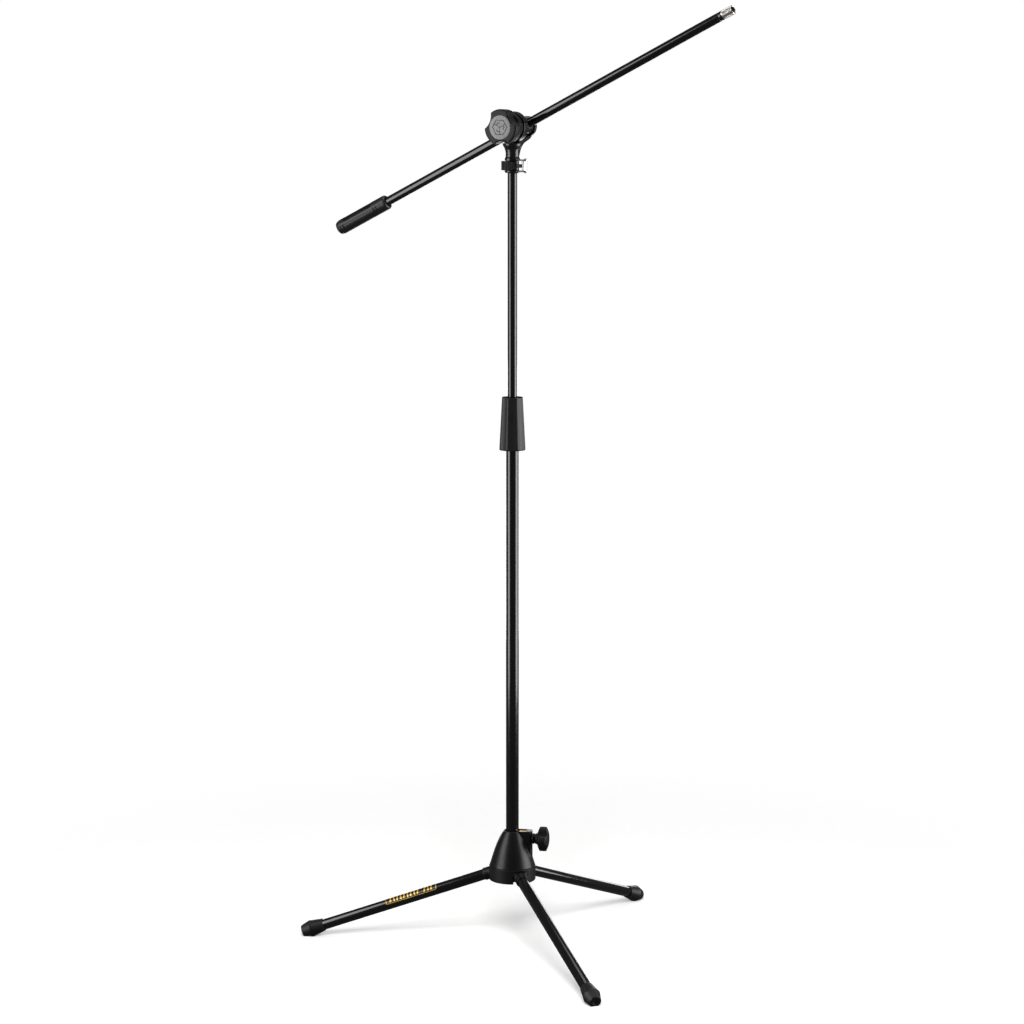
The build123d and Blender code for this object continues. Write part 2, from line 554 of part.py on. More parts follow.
def boom_tip_fitting():
    """Plug in the tip of the boom with a crimp groove and an end ring."""
    bore = BOOM_R - BOOM_WALL
    return turned((5, 385), (bore, 385), (bore, TUBE_TO), (7.1, TUBE_TO), (7.1, RING_FROM),
                  (BOOM_R, RING_FROM), (BOOM_R, RING_TO), (5, RING_TO))


def boom_thread_stud():
    """Hollow stud for a microphone holder."""
    bore, seat = 6.0, RING_TO + 2
    return turned((3.4, 385), (5, 385), (5, RING_TO), (STUD_R, RING_TO), (STUD_R, STUD_TO),
                  (bore, STUD_TO), (bore, seat), (3.4, seat))


def boom_grip():
    """Sleeve over the counterweight, dished round the tube at its inner end."""
    end, front, hole = GRIP_FROM + 3, GRIP_TO, BOOM_R + 0.1
    return turned((GRIP_IN_R, end), (GRIP_R - 1, end), (GRIP_R, end + 2), (GRIP_R, front - 2.5),
                  (GRIP_R - 1, front - 0.2), (GRIP_R - 2, front), (hole, front - 4.5), (hole, front - 6),
                  (GRIP_IN_R, front - 6))


def boom_grip_cap():
    """End cap with a plug in the tube."""
    end, bore = GRIP_FROM, BOOM_R - BOOM_WALL
    return turned((0, end), (GRIP_R - 3, end), (GRIP_R - 1, end + 2), (GRIP_R - 1, end + 3),
                  (GRIP_IN_R, end + 3), (GRIP_IN_R, end + 7), (bore, end + 7), (bore, end + 17),
                  (0, end + 17))


def all_parts():
    """Every node's shape in place, by name."""
    turn = Rot(0, 0, HEAD_AZIMUTH)
    on_boom = BOOM * ALONG_X
    parts = {
        "base_housing": base_housing(),
        "base_skirt": base_skirt(),
        "base_bush": base_bush(),
        "base_screws": base_screws(),
        "leg_pins": leg_pins(),
        "clamp_nut": clamp_nut(),
        "clamp_shoe": clamp_shoe(),
        "clamp_screw": clamp_screw(),
        "base_knob": base_knob(),
        "lower_tube": ring(LOWER_R, LOWER_R - LOWER_WALL, LOWER_FROM, LOWER_TO),
        "lower_tube_plug": lower_tube_plug(),
        "clutch_body": clutch_body(),
        "clutch_collet": clutch_collet(),
        "clutch_collar": clutch_collar(),
        "clutch_sleeve": clutch_sleeve(),
        "upper_tube": ring(UPPER_R, UPPER_R - UPPER_WALL, UPPER_FROM, UPPER_TO),
        "upper_tube_guide": upper_tube_guide(),
        "upper_tube_cap": rod(UPPER_R - UPPER_WALL, UPPER_TO - 12, UPPER_TO),
        "swivel_bush": swivel_bush(),
        "swivel_collar": turn * swivel_collar(),
        "latch_pin": turn * latch_pin(),
        "latch_link": turn * latch_link(),
        "latch_lever": turn * latch_lever(),
        "head_yoke": HEAD * head_yoke(),
        "friction_disc": HEAD * friction_disc(),
        "tilt_knob": HEAD * tilt_knob(),
        "knob_emblem": HEAD * knob_emblem(),
        "knob_washer": HEAD * knob_washer(),
        "boom_holder": TILT * boom_holder(),
        "boom_liner": TILT * boom_liner(),
        "trunnion_screw": TILT * trunnion_screw(),
        "eye_bolt": TILT * eye_bolt(),
        "boom_tube": on_boom * ring(BOOM_R, BOOM_R - BOOM_WALL, GRIP_FROM + 7, TUBE_TO),
        "boom_tip_fitting": on_boom * boom_tip_fitting(),
        "boom_thread_stud": on_boom * boom_thread_stud(),
        "boom_counterweight": on_boom * ring(GRIP_IN_R, BOOM_R, GRIP_FROM + 7, GRIP_TO - 6),
        "boom_grip": on_boom * boom_grip(),
        "boom_grip_cap": on_boom * boom_grip_cap(),
    }
    below_floor = block((-500, 500), (-500, 500), (-20, 0))
    for number, leg in enumerate(LEGS, start=1):
        parts[f"leg_{number}_knuckle"] = leg * leg_knuckle()
        parts[f"leg_{number}_tube"] = leg * leg_tube()
        parts[f"leg_{number}_foot"] = leg * leg_foot() - below_floor
    parts["leg_label"] = LEGS[0] * leg_label()
    return parts


os.makedirs("parts", exist_ok=True)
for name, shape in all_parts().items():
    export_step(shape, f"parts/{name}.step")
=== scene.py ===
import json
import bpy
import bmesh
from math import atan2, cos, exp, hypot, log, pi, radians, sin, sqrt, tau
from mathutils import Matrix, Vector


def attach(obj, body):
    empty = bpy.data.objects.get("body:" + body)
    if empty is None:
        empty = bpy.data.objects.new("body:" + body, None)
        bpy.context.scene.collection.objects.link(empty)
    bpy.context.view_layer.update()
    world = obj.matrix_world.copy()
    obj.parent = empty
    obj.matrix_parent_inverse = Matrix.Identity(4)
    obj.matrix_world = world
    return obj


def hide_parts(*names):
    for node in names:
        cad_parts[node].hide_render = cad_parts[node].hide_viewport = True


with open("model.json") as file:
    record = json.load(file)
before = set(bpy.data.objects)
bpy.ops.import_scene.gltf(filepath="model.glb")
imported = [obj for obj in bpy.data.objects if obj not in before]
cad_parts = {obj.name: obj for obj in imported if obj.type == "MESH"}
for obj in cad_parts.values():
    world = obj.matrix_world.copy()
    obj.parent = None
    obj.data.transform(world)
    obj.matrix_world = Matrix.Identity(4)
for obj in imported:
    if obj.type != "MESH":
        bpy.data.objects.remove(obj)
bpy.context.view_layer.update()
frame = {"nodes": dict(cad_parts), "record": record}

MM = 0.001
ROUND = 96                     # sides of a turned piece
ROUNDER = 192                  # sides of a piece with detail round its skin
CENTRE = 0.00002               # radius of the tiny ring that closes a turned end
JOINTS = {joint["name"]: joint for joint in frame["record"]["behaviour"]["joints"]}
MOUNTS = {mount["name"]: mount for mount in frame["record"]["mounts"]}


# ---- Frames of the moving groups, from the record ----

def turned_frame(origin, x_axis, z_hint):
    """Matrix with X along x_axis and Z as near to z_hint as it can be."""
    x = Vector(x_axis).normalized()
    y = Vector(z_hint).cross(x).normalized()
    z = x.cross(y)
    return Matrix.Translation(origin) @ Matrix((x, y, z)).transposed().to_4x4()


UP = Vector((0, 0, 1))
TILT_POINT = Vector(JOINTS["boom_tilt"]["pos_m"])
KNOB_WARD = Vector(JOINTS["boom_tilt"]["axis"])          # from the pole to the tilt knob
BOOM_DIRECTION = Vector(JOINTS["boom_slide"]["axis"])
STUD = MOUNTS["boom_thread"]
STUD_MIDDLE = Vector(STUD["pos_m"])
STUD_R = STUD["dims"]["r_mm"] * MM
STUD_LENGTH = STUD["dims"]["length_mm"] * MM
STUD_AT = (STUD_MIDDLE - TILT_POINT).dot(BOOM_DIRECTION)
BOOM = turned_frame(STUD_MIDDLE - BOOM_DIRECTION * STUD_AT, BOOM_DIRECTION, UP)
# The head's frame: Z towards the knob, X up, so that a turned piece stands on the tilt axis.
KNOB = turned_frame(TILT_POINT, UP, KNOB_WARD)
POLE = Matrix.Identity(4)

LEG_SLOPE = radians(19.85)
LEG_NUMBERS = (1, 2, 3)


def leg_frame(number):
    """Z down along the leg from its pin, X as near to up as it can be."""
    joint = JOINTS[f"leg_{number}_fold"]
    pin = Vector(joint["pos_m"])
    out = Vector((pin.x, pin.y, 0)).normalized()
    along = out * cos(LEG_SLOPE) - UP * sin(LEG_SLOPE)
    return turned_frame(pin, out * sin(LEG_SLOPE) + UP * cos(LEG_SLOPE), along)


# ---- Materials ----

def material(name):
    """A new node material: returns it, its node adder and its surface shader."""
    made = bpy.data.materials.new(name)
    made.use_nodes = True
    nodes = made.node_tree.nodes
    shader = nodes["Principled BSDF"]

    def add(kind, **inputs):
        node = nodes.new(kind)
        for key, value in inputs.items():
            if key in node.inputs:
                node.inputs[key].default_value = value
            else:
                setattr(node, key, value)
        return node

    return made, add, shader


def link(made, source, target):
    made.node_tree.links.new(source, target)


def grain(made, add, scale, detail=4.0, rough=0.55, stretch=(1, 1, 1)):
    """Noise in the object's own coordinates, in metres."""
    place = add("ShaderNodeTexCoord")
    mapping = add("ShaderNodeMapping", Scale=stretch)
    noise = add("ShaderNodeTexNoise", Scale=scale, Detail=detail, Roughness=rough)
    link(made, place.outputs["Object"], mapping.inputs["Vector"])
    link(made, mapping.outputs["Vector"], noise.inputs["Vector"])
    return noise.outputs["Fac"]


def ramp(made, add, source, low, high, start=0.0, end=1.0):
    """Maps source from start..end to low..high, which are numbers or colours."""
    node = add("ShaderNodeValToRGB")
    node.color_ramp.elements[0].position = start
    node.color_ramp.elements[1].position = end
    for element, value in zip(node.color_ramp.elements, (low, high)):
        element.color = (value, value, value, 1) if isinstance(value, float) else (*value, 1)
    link(made, source, node.inputs["Fac"])
    return node.outputs["Color"]


def bump(made, add, shader, heights, distance, strength=1.0):
    """Chains height maps into the shader's normal; distance is in metres."""
    normal = None
    for height in heights:
        node = add("ShaderNodeBump", Strength=strength, Distance=distance)
        link(made, height, node.inputs["Height"])
        if normal:
            link(made, normal, node.inputs["Normal"])
        normal = node.outputs["Normal"]
    link(made, normal, shader.inputs["Normal"])


def mixed(made, add, factor, low, high):
    """Colour mix of two colours or sockets by a factor socket."""
    node = add("ShaderNodeMix", data_type="RGBA")
    link(made, factor, node.inputs["Factor"])
    for key, value in (("A", low), ("B", high)):
        target = [entry for entry in node.inputs if entry.name == key and entry.type == "RGBA"][0]
        if isinstance(value, tuple):
            target.default_value = (*value, 1)
        else:
            link(made, value, target)
    return [entry for entry in node.outputs if entry.type == "RGBA"][0]


def gloss_black_paint():
    """Baked gloss enamel on steel tube: faint orange peel, hairline rubs along the tube."""
    made, add, shader = material("gloss_black_paint")
    peel = grain(made, add, 420.0, 2.0)
    rubs = grain(made, add, 900.0, 3.0, stretch=(1, 1, 0.04))
    tint = grain(made, add, 9.0, 3.0)
    base = ramp(made, add, tint, (0.0022, 0.0022, 0.0024), (0.0050, 0.0050, 0.0054))
    link(made, base, shader.inputs["Base Color"])
    link(made, ramp(made, add, rubs, 0.12, 0.24, 0.35, 0.8), shader.inputs["Roughness"])
    bump(made, add, shader, [peel], 0.00002, 0.35)
    shader.inputs["IOR"].default_value = 1.52
    return made


def satin_casting(name, low, high, rough_low, rough_high, specular=0.5):
    """Powder coat on die casting: fine pebbled skin and uneven sheen, lighter where it is rubbed."""
    made, add, shader = material(name)
    pebbles = grain(made, add, 2600.0, 2.0, 0.5)
    waves = grain(made, add, 160.0, 4.0)
    cloud = grain(made, add, 28.0, 4.0)
    wear = add("ShaderNodeNewGeometry").outputs["Pointiness"]
    worn = ramp(made, add, wear, 0.0, 1.0, 0.54, 0.62)
    base = ramp(made, add, cloud, low, high, 0.3, 0.75)
    rubbed = tuple(2.6 * value for value in high)
    link(made, mixed(made, add, worn, base, rubbed), shader.inputs["Base Color"])
    link(made, ramp(made, add, waves, rough_low, rough_high, 0.3, 0.75), shader.inputs["Roughness"])
    bump(made, add, shader, [waves, pebbles], 0.00006, 0.45)
    shader.inputs["Specular IOR Level"].default_value = specular
    return made


def moulded_plastic(name, low, high, rough, texture_scale, texture_depth, specular=0.5):
    """Moulded nylon with a spark-eroded skin."""
    made, add, shader = material(name)
    skin = grain(made, add, texture_scale, 3.0, 0.6)
    cloud = grain(made, add, 35.0, 3.0)
    link(made, ramp(made, add, cloud, low, high, 0.3, 0.75), shader.inputs["Base Color"])
    link(made, ramp(made, add, skin, rough - 0.08, rough + 0.1, 0.3, 0.7), shader.inputs["Roughness"])
    bump(made, add, shader, [skin], texture_depth, 0.5)
    shader.inputs["Specular IOR Level"].default_value = specular
    return made


def black_rubber():
    """Moulded rubber: soft sheen, dusty bloom and a fine grain."""
    made, add, shader = material("black_rubber")
    skin = grain(made, add, 1500.0, 4.0, 0.6)
    bloom = grain(made, add, 45.0, 5.0, 0.6)
    link(made, ramp(made, add, bloom, (0.0060, 0.0060, 0.0064), (0.0125, 0.0128, 0.0135), 0.35, 0.8),
         shader.inputs["Base Color"])
    link(made, ramp(made, add, skin, 0.36, 0.54, 0.3, 0.7), shader.inputs["Roughness"])
    bump(made, add, shader, [skin], 0.00006, 0.5)
    shader.inputs["Specular IOR Level"].default_value = 0.30
    return made


def turned_metal(name, colour, rough, lines=700.0, stretch=(0.02, 1, 1)):
    """Bare metal with machining lines and slight tarnish."""
    made, add, shader = material(name)
    cuts = grain(made, add, lines, 3.0, 0.7, stretch)
    cloud = grain(made, add, 120.0, 4.0)
    dull = tuple(0.72 * value for value in colour)
    link(made, ramp(made, add, cloud, dull, colour, 0.25, 0.7), shader.inputs["Base Color"])
    link(made, ramp(made, add, cuts, rough - 0.08, rough + 0.12, 0.3, 0.7), shader.inputs["Roughness"])
    bump(made, add, shader, [cuts], 0.00002, 0.4)
    shader.inputs["Metallic"].default_value = 1.0
    return made


def emblem_metal(name, low, high):
    """Stamped aluminium, brushed in one direction, with dark lacquer left in the recesses."""
    made, add, shader = material(name)
    strokes = grain(made, add, 1300.0, 4.0, 0.7, (1, 0.03, 1))
    blotches = grain(made, add, 260.0, 5.0, 0.7)
    base = ramp(made, add, strokes, low, high, 0.25, 0.8)
    dim = tuple(0.5 * value for value in low)
    link(made, mixed(made, add, ramp(made, add, blotches, 0.0, 0.55, 0.45, 0.75), base, dim),
         shader.inputs["Base Color"])
    link(made, ramp(made, add, strokes, 0.34, 0.5), shader.inputs["Roughness"])
    bump(made, add, shader, [strokes, blotches], 0.00004, 0.5)
    shader.inputs["Metallic"].default_value = 0.75
    return made


def gold_print():
    """Metallic gold screen print with worn patches."""
    made, add, shader = material("gold_print")
    speck = grain(made, add, 900.0, 4.0, 0.7)
    cloud = grain(made, add, 90.0, 3.0)
    base = ramp(made, add, cloud, (0.52, 0.30, 0.04), (0.86, 0.60, 0.13), 0.3, 0.7)
    link(made, mixed(made, add, ramp(made, add, speck, 0.0, 1.0, 0.66, 0.72), base, (0.07, 0.05, 0.02)),
         shader.inputs["Base Color"])
    link(made, ramp(made, add, speck, 0.28, 0.45), shader.inputs["Roughness"])
    bump(made, add, shader, [speck], 0.00001, 0.4)
    shader.inputs["Metallic"].default_value = 0.55
    return made


PAINT = gloss_black_paint()
CASTING = satin_casting("satin_black_casting", (0.0028, 0.0028, 0.0030), (0.0056, 0.0056, 0.0060),
                        0.30, 0.40, specular=0.26)
RING_COAT = satin_casting("satin_black_ring", (0.0042, 0.0042, 0.0045), (0.0072, 0.0072, 0.0076),
                          0.40, 0.52, specular=0.20)
HEAD_COAT = satin_casting("satin_black_head", (0.0026, 0.0026, 0.0028), (0.0052, 0.0052, 0.0056), 0.20, 0.30)
KNOB_PLASTIC = moulded_plastic("knob_plastic", (0.0040, 0.0040, 0.0042), (0.0078, 0.0078, 0.0082),
                               0.46, 2400.0, 0.00004, specular=0.20)
GRIP_PLASTIC = moulded_plastic("grip_plastic", (0.0050, 0.0053, 0.0057), (0.0090, 0.0095, 0.0100),
                               0.42, 1500.0, 0.00003, specular=0.35)
GRIP_KNURL = moulded_plastic("grip_knurl", (0.0035, 0.0037, 0.0040), (0.0075, 0.0078, 0.0082),
                             0.60, 1500.0, 0.00005, specular=0.08)
NYLON = moulded_plastic("nylon", (0.02, 0.02, 0.02), (0.034, 0.034, 0.034), 0.46, 1200.0, 0.00003)
RUBBER = black_rubber()
BRASS = turned_metal("brass", (0.80, 0.50, 0.20), 0.30)
NICKEL = turned_metal("nickel_plate", (0.62, 0.60, 0.565), 0.30)
STEEL = turned_metal("turned_steel", (0.42, 0.42, 0.43), 0.34)
EMBLEM = emblem_metal("emblem_metal", (0.078, 0.078, 0.080), (0.150, 0.150, 0.153))
EMBLEM_RECESS = emblem_metal("emblem_recess", (0.030, 0.026, 0.024), (0.060, 0.053, 0.049))
FOIL = moulded_plastic("label_foil", (0.004, 0.004, 0.005), (0.007, 0.007, 0.009), 0.22, 600.0, 0.00001)
GOLD = gold_print()


# ---- Mesh helpers ----

def piece(name, mesh, coat, body, nodes):
    """Puts a mesh in the scene as a finished piece that stands for CAD nodes."""
    made = bpy.data.objects.new(name, mesh)
    bpy.context.scene.collection.objects.link(made)
    mesh.materials.append(coat)
    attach(made, body)
    if nodes:
        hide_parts(*nodes)
    return made


def smooth(mesh, angle=38):
    """Normals outwards and smooth shading, with the edges sharper than angle kept."""
    mesh.validate()
    work = bmesh.new()
    work.from_mesh(mesh)
    bmesh.ops.recalc_face_normals(work, faces=work.faces)
    work.to_mesh(mesh)
    work.free()
    mesh.shade_smooth()
    mesh.set_sharp_from_angle(angle=radians(angle))
    return mesh


def loft(name, rings, place, closed=False):
    """Skin through rings of points that lie in place's frame; closed joins the last ring to the first."""
    sides = len(rings[0])
    points = [place @ Vector(point) for ring in rings for point in ring]
    faces = []
    pairs = list(zip(range(len(rings) - 1), range(1, len(rings))))
    if closed:
        pairs.append((len(rings) - 1, 0))
    for low, high in pairs:
        for side in range(sides):
            after = (side + 1) % sides
            faces.append((low * sides + side, low * sides + after,
                          high * sides + after, high * sides + side))
    if not closed:
        faces.append(tuple(range(sides))[::-1])
        faces.append(tuple((len(rings) - 1) * sides + side for side in range(sides)))
    mesh = bpy.data.meshes.new(name)
    mesh.from_pydata(points, [], faces)
    return mesh


def circle(radius, height, sides=ROUNDER):
    """A level ring of points round Z."""
    return [(radius * cos(tau * side / sides), radius * sin(tau * side / sides), height)
            for side in range(sides)]


def softened(outline, size, steps=3, closed=True):
    """The outline with each corner turned into a small arc."""
    count = len(outline)
    result = []
    for index, corner in enumerate(outline):
        here = Vector(corner)
        before, after = Vector(outline[index - 1]), Vector(outline[(index + 1) % count])
        end = not closed and index in (0, count - 1)
        into, out = before - here, after - here
        if end or into.length < 1e-9 or out.length < 1e-9:
            result.append(corner)
            continue
        reach = min(size, 0.45 * into.length, 0.45 * out.length)
        first, last = here + into.normalized() * reach, here + out.normalized() * reach
        for step in range(steps + 1):
            share = step / steps
            point = first.lerp(here, share).lerp(here.lerp(last, share), share)
            result.append(tuple(point))
    return result


def lathe(name, outline, place, size=0.0004, closed=True, shape=None, sides=ROUND):
    """A closed outline of (radius, height) points in metres, turned about place's Z. An outline that
    starts and ends on the axis is given with closed=False. shape(angle, radius, height) may change
    the radius."""
    rings = []
    for radius, height in softened(outline, size, closed=closed):
        ring = []
        for side in range(sides):
            angle = tau * side / sides
            reach = shape(angle, radius, height) if shape else radius
            ring.append((reach * cos(angle), reach * sin(angle), height))
        rings.append(ring)
    return smooth(loft(name, rings, place, closed))


def cast(name, node, voxel, relax, coat, body, clearance=0.0):
    """A casting or moulding: the CAD node's own shape with rounded edges, drawn in by a clearance."""
    source = frame["nodes"][node]
    rough = bpy.data.objects.new(name + "_rough", source.data.copy())
    bpy.context.scene.collection.objects.link(rough)
    remesh = rough.modifiers.new("skin", "REMESH")
    remesh.mode = "VOXEL"
    remesh.voxel_size = voxel
    remesh.use_smooth_shade = True
    relaxed = rough.modifiers.new("relax", "SMOOTH")
    relaxed.factor = 0.5
    relaxed.iterations = relax
    drawn_in = rough.modifiers.new("drawn_in", "DISPLACE")
    drawn_in.mid_level = 0
    drawn_in.strength = -clearance
    ready = rough.evaluated_get(bpy.context.evaluated_depsgraph_get())
    mesh = bpy.data.meshes.new_from_object(ready)
    bpy.data.objects.remove(rough)
    mesh.name = name
    mesh.materials.clear()
    piece(name, smooth(mesh, 60), coat, body, [node])


def machined(name, node, width, coat, body):
    """A turned or pressed part: the CAD node's own shape with its sharp edges broken."""
    mesh = frame["nodes"][node].data.copy()
    mesh.name = name
    mesh.materials.clear()
    work = bmesh.new()
    work.from_mesh(mesh)
    bmesh.ops.remove_doubles(work, verts=work.verts, dist=1e-6)
    bmesh.ops.dissolve_limit(work, angle_limit=radians(1), verts=work.verts, edges=work.edges)
    work.to_mesh(mesh)
    work.free()
    rough = bpy.data.objects.new(name + "_rough", mesh)
    bpy.context.scene.collection.objects.link(rough)
    bevel = rough.modifiers.new("edges", "BEVEL")
    bevel.width = width
    bevel.segments = 2
    bevel.limit_method = "ANGLE"
    bevel.angle_limit = radians(40)
    bevel.use_clamp_overlap = True
    ready = rough.evaluated_get(bpy.context.evaluated_depsgraph_get())
    result = bpy.data.meshes.new_from_object(ready)
    bpy.data.objects.remove(rough)
    result.name = name
    piece(name, smooth(result, 30), coat, body, [node])


def recoat(mesh, place, coat, chosen):
    """Gives the faces whose centre, in place's frame, is chosen a second finish."""
    mesh.materials.append(coat)
    back = place.inverted()
    for face in mesh.polygons:
        if chosen(back @ face.center):
            face.material_index = 1


def smooth_step(value, low, high):
    """0 below low, 1 above high, and an even slope between them."""
    share = min(1.0, max(0.0, (value - low) / (high - low)))
    return share * share * (3 - 2 * share)


def bell_curve(offset, width):
    """1 at offset 0, falling to nothing within about two widths."""
    return exp(-(offset / width) ** 2)


def dress(coat, *nodes):
    """Gives CAD nodes that keep their own shape a finish."""
    for node in nodes:
        shown = frame["nodes"][node]
        shown.data.materials.clear()
        shown.data.materials.append(coat)


def tube(node, outer, inner, place, body):
    """Painted steel tube with rounded ends, as long as its CAD node."""
    low, high = span(node, place)
    outline = [(inner, low), (outer, low), (outer, high), (inner, high)]
    mesh = lathe(f"{node}_painted", outline, place, 0.0005)
    piece(f"{node}_painted", mesh, PAINT, body, [node])


# ---- Where things are along each axis, from the CAD boxes ----

def span(node, place):
    """Lowest and highest place along place's Z of a node's vertices."""
    back = place.inverted()
    heights = [(back @ vertex.co).z for vertex in frame["nodes"][node].data.vertices]
    return min(heights), max(heights)


def reach(node, place):
    """Largest distance of a node's vertices from place's Z."""
    back = place.inverted()
    flat = [(back @ vertex.co) for vertex in frame["nodes"][node].data.vertices]
    return max(hypot(point.x, point.y) for point in flat)


ALONG_BOOM = BOOM @ Matrix.Rotation(radians(90), 4, "Y")     # Z along the boom


# ---- Tubes ----

def build_tubes():
    """The telescoping pole, the boom and the three legs."""
    tube("lower_tube", 0.011, 0.0098, POLE, "mast")
    tube("upper_tube", 0.008, 0.0068, POLE, "upper")
    tube("boom_tube", 0.00775, 0.00675, ALONG_BOOM, "boom")
    for number in LEG_NUMBERS:
        tube(f"leg_{number}_tube", 0.0095, 0.0083, leg_frame(number), f"leg_{number}")


# ---- Base ----

def build_base():
    """The bell, its ring, the clamp's star knob and the three leg knuckles."""
    cast("base_bell", "base_housing", 0.0007, 5, CASTING, "base")
    cast("base_ring", "base_skirt", 0.0007, 3, RING_COAT, "base")
    cast("base_star_knob", "base_knob", 0.0005, 6, KNOB_PLASTIC, "base_knob")
    for number in LEG_NUMBERS:
        leg = f"leg_{number}"
        cast(f"{leg}_knuckle_cast", f"{leg}_knuckle", 0.0006, 5, CASTING, leg)


# ---- Head ----

def build_head():
    """The swivelling head with its latch, the boom's holder and the bright hardware."""
    cast("swivel_collar_cast", "swivel_collar", 0.0004, 8, HEAD_COAT, "head")
    cast("head_yoke_cast", "head_yoke", 0.0005, 16, HEAD_COAT, "head")
    cast("boom_holder_cast", "boom_holder", 0.0005, 10, HEAD_COAT, "boom_holder",
         clearance=0.00015)
    cast("latch_lever_moulding", "latch_lever", 0.00035, 3, KNOB_PLASTIC, "latch")
    machined("latch_pin_turned", "latch_pin", 0.0003, STEEL, "head")
    machined("latch_link_pressed", "latch_link", 0.0003, STEEL, "latch")
    machined("knob_washer_turned", "knob_washer", 0.0002, STEEL, "tilt_knob")
    machined("trunnion_screw_turned", "trunnion_screw", 0.0003, STEEL, "boom_holder")
    machined("eye_bolt_forged", "eye_bolt", 0.0004, STEEL, "eye_bolt")
    machined("clamp_nut_turned", "clamp_nut", 0.0004, BRASS, "base")
    machined("clutch_collar_moulding", "clutch_collar", 0.0004, KNOB_PLASTIC, "clutch_grip")


EMBLEM_SIDES = 240


def emblem_height(x, y):
    """Depth of the relief's grooves at a place on the disc: a hexagon with a three-armed star."""
    depth, half_width = 0.00035, 0.00042
    radius = hypot(x, y)
    angle = atan2(y, x)
    sector = (angle + pi / 6) % (pi / 3) - pi / 6
    hexagon = abs(radius * cos(sector) - 0.0118)
    arm = angle % (tau / 3) - tau / 6
    star = abs(radius * sin(arm)) if radius < 0.0118 and cos(arm) > 0 else 1
    chevron = abs(radius * cos(sector) - 0.0072) if (angle % (tau / 3)) < tau / 6 else 1
    nearest = min(hexagon, star, chevron)
    return -depth * max(0.0, 1 - (nearest / half_width) ** 4) ** 0.5 if nearest < half_width else 0.0


def build_emblem():
    """Stamped disc in the front of the tilt knob, with a plain geometric relief."""
    low, high = span("knob_emblem", KNOB)
    radius = reach("knob_emblem", KNOB)
    rings = [circle(CENTRE, low, EMBLEM_SIDES), circle(radius - 0.0003, low, EMBLEM_SIDES),
             circle(radius, low + 0.0003, EMBLEM_SIDES)]
    steps = 58
    crown = 0.0005
    edge = high - crown
    for step in range(steps + 1):
        flat = radius * (1 - step / steps) * 0.985 + (0.015 * radius if step == 0 else 0) + CENTRE
        rise = edge + crown * sqrt(max(0.0, 1 - (flat / radius) ** 2)) ** 0.6
        rings.append([])
        for side in range(EMBLEM_SIDES):
            x, y = flat * cos(tau * side / EMBLEM_SIDES), flat * sin(tau * side / EMBLEM_SIDES)
            rings[-1].append((x, y, min(rise, high) + emblem_height(x, y)))
    mesh = smooth(loft("emblem_disc", rings, KNOB), 50)
    piece("emblem_disc", mesh, EMBLEM, "tilt_knob", ["knob_emblem"])
    recoat(mesh, KNOB, EMBLEM_RECESS,
           lambda centre: centre.z > low + 0.001 and emblem_height(centre.x, centre.y) < -0.00016)


def lobe_radius(angle):
    """Outline of the tilt knob: three broad lobes with a shallow scallop between them."""
    lobe, waist, scallop, blend = 0.0302, 0.0224, 0.026, 0.0007
    off = (angle - radians(6)) % (tau / 3) - pi / 3
    side = (waist + scallop) * sin(off)
    if abs(side) >= scallop:
        return lobe
    dip = (waist + scallop) * cos(off) - sqrt(scallop ** 2 - side ** 2)
    return -blend * log(exp(-lobe / blend) + exp(-dip / blend))


def build_tilt_knob():
    """Three-lobed knob on a round skirt."""
    low, high = span("tilt_knob", KNOB)
    emblem = 0.0200
    recess = high - 0.0014
    lobes_back = high - 0.0210
    skirt = 0.0246
    corner = 0.0034

    def outline(inset, height):
        ring = []
        for side in range(ROUNDER):
            angle = tau * side / ROUNDER
            radius = lobe_radius(angle) - inset(lobe_radius(angle))
            ring.append((radius * cos(angle), radius * sin(angle), height))
        return ring

    def rounding(radius):
        return min(corner, 0.92 * (radius - emblem - 0.0003))

    rings = [circle(CENTRE, recess), circle(emblem, recess), circle(emblem, high - 0.0003),
             circle(emblem + 0.0002, high)]
    steps = 7
    for step in range(steps + 1):
        turn = radians(90) * step / steps
        height = high - 0.0028 * (1 - cos(turn))
        rings.append(outline(lambda radius: rounding(radius) * (1 - sin(turn)), height))
    rings.append(outline(lambda radius: 0.0002, high - 0.010))
    rings.append(outline(lambda radius: 0.0006, lobes_back + 0.0012))
    rings.append(outline(lambda radius: 0.0012, lobes_back + 0.0003))
    rings.append(outline(lambda radius: 0.0026 if radius > 0.0262 else 0.0014, lobes_back))
    for radius, height in ((skirt - 0.0022, lobes_back - 0.0001), (skirt - 0.0022, lobes_back - 0.0008),
                           (skirt - 0.0006, lobes_back - 0.0010), (skirt, lobes_back - 0.0016),
                           (skirt, low + 0.0007), (skirt - 0.0007, low), (0.0111, low),
                           (0.0111, low + 0.0013), (0.00406, low + 0.0013),
                           (0.00406, high - 0.004), (CENTRE, high - 0.004)):
        rings.append(circle(radius, height))
    mesh = smooth(loft("tilt_knob_moulding", rings, KNOB), 44)
    piece("tilt_knob_moulding", mesh, KNOB_PLASTIC, "tilt_knob", ["tilt_knob"])


# ---- Clutch ----

